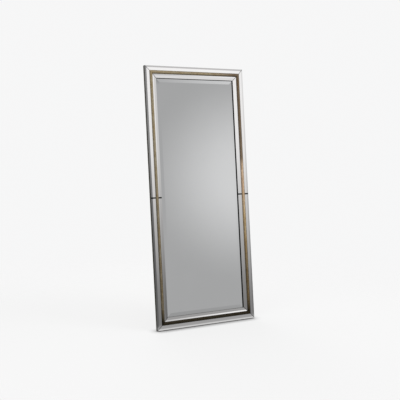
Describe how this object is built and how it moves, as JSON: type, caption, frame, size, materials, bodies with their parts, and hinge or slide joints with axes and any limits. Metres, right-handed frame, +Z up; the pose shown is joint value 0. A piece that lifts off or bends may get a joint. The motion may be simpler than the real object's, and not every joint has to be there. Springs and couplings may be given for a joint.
{
  "type": "leaning floor mirror",
  "caption": "Full-length leaning mirror: bevelled plate in a wooden frame clad with mirror strips and a round champagne bead, with a fold-out leg and D-ring hangers behind.",
  "frame": {"origin": "bottom centre of the bounding box of the mirror as it stands leaning; the foot pads' lowest edge is at Z 0", "axes": "+Z up, the mirror faces -Y and leans back towards +Y, +X to the right of someone who looks into it"},
  "size_m": [0.73, 0.2948, 1.6958],
  "materials": {
    "mirror_glass": "polished, silvered behind",
    "champagne_leaf": "burnished champagne metal leaf on wood",
    "painted_wood": "satin bronze-black paint",
    "hardboard": "smooth brown hardboard",
    "beech": "pressed beech",
    "zinc_steel": "bright zinc plate",
    "black_rubber": "matt"
  },
  "bodies": {
    "frame": {"backing_board": "hardboard", "backing_clips": "zinc_steel", "batten_screws": "zinc_steel", "bead_bottom": "champagne_leaf", "bead_left": "champagne_leaf", "bead_right": "champagne_leaf", "bead_top": "champagne_leaf", "brace_screws": "zinc_steel", "carcass_bottom_rail": "painted_wood", "carcass_left_stile": "painted_wood", "carcass_right_stile": "painted_wood", "carcass_top_rail": "painted_wood", "clevis_screws": "zinc_steel", "clip_screws": "zinc_steel", "corner_brace_bottom_left": "zinc_steel", "corner_brace_bottom_right": "zinc_steel", "corner_brace_top_left": "zinc_steel", "corner_brace_top_right": "zinc_steel", "easel_batten": "painted_wood", "easel_clevis": "zinc_steel", "easel_pin": "zinc_steel", "foot_pad_left": "black_rubber", "foot_pad_right": "black_rubber", "hanger_screws": "zinc_steel", "hanger_strap_left": "zinc_steel", "hanger_strap_right": "zinc_steel", "inner_strip_bottom": "mirror_glass", "inner_strip_left_lower": "mirror_glass", "inner_strip_left_upper": "mirror_glass", "inner_strip_right_lower": "mirror_glass", "inner_strip_right_upper": "mirror_glass", "inner_strip_top": "mirror_glass", "mirror_plate": "mirror_glass", "mitre_biscuits": "beech", "outer_strip_bottom": "mirror_glass", "outer_strip_left_lower": "mirror_glass", "outer_strip_left_upper": "mirror_glass", "outer_strip_right_lower": "mirror_glass", "outer_strip_right_upper": "mirror_glass", "outer_strip_top": "mirror_glass", "wall_bumpers": "black_rubber"},
    "ring_left": {"d_ring_left": "zinc_steel"},
    "ring_right": {"d_ring_right": "zinc_steel"},
    "leg": {"easel_leg": "painted_wood", "easel_leg_pad": "black_rubber"}
  },
  "joints": [
    {"name": "ring_swing_left", "type": "hinge", "parent": "frame", "child": "ring_left", "pos_m": [-0.333, 0.0191, 1.29528], "axis": [1, 0, 0], "range_deg": [-5, 174]},
    {"name": "ring_swing_right", "type": "hinge", "parent": "frame", "child": "ring_right", "pos_m": [0.333, 0.0191, 1.29528], "axis": [1, 0, 0], "range_deg": [-5, 174]},
    {"name": "leg_fold", "type": "hinge", "parent": "frame", "child": "leg", "pos_m": [0, 0.02686, 1.1738], "axis": [1, 0, 0], "range_deg": [-11.5, 0]}
  ]
}
